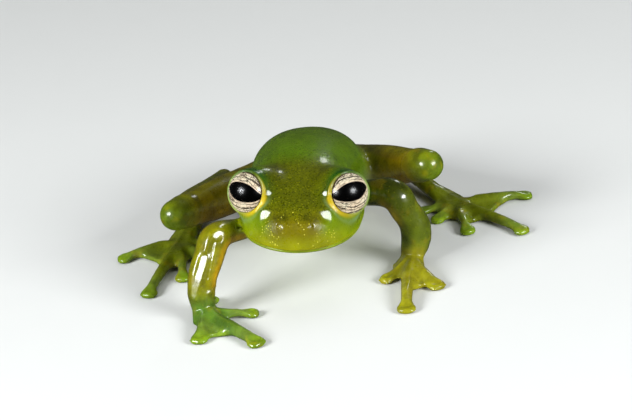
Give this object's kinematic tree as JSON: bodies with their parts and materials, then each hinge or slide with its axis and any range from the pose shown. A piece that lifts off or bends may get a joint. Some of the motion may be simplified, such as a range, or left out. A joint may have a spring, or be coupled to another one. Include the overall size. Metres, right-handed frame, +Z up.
{
  "type": "glass frog",
  "caption": "Still, life-size glass frog crouched on the floor, with bulging eyes that face forward, webbed digits with blunt discs, and folded hind legs.",
  "frame": {"origin": "on the floor, under the middle of the part's bounding box", "axes": "+Z up, the snout points to -Y, the frog's left side lies to +X"},
  "size_m": [0.0396, 0.0368, 0.0128],
  "materials": {
    "skin": "moist, smooth, slightly translucent yellow-green skin with fine dark stipples",
    "leg_skin": "moist, translucent olive skin",
    "digit_skin": "moist, translucent yellow skin",
    "eye": "clear and glossy over a pale iris with dark lines and a black pupil"
  },
  "bodies": {
    "root": {"head": "skin", "lower_jaw": "skin", "torso": "skin", "upper_arm_right": "skin", "forearm_right": "skin", "hand_right": "skin", "tarsus_right": "skin", "foot_right": "skin", "upper_arm_left": "skin", "forearm_left": "skin", "hand_left": "skin", "tarsus_left": "skin", "foot_left": "skin", "thigh_right": "leg_skin", "shank_right": "leg_skin", "thigh_left": "leg_skin", "shank_left": "leg_skin", "finger_1_right": "digit_skin", "finger_2_right": "digit_skin", "finger_3_right": "digit_skin", "finger_4_right": "digit_skin", "toe_1_right": "digit_skin", "toe_2_right": "digit_skin", "toe_3_right": "digit_skin", "toe_4_right": "digit_skin", "toe_5_right": "digit_skin", "finger_1_left": "digit_skin", "finger_2_left": "digit_skin", "finger_3_left": "digit_skin", "finger_4_left": "digit_skin", "toe_1_left": "digit_skin", "toe_2_left": "digit_skin", "toe_3_left": "digit_skin", "toe_4_left": "digit_skin", "toe_5_left": "digit_skin", "eye_right": "eye", "eye_left": "eye"}
  },
  "joints": []
}
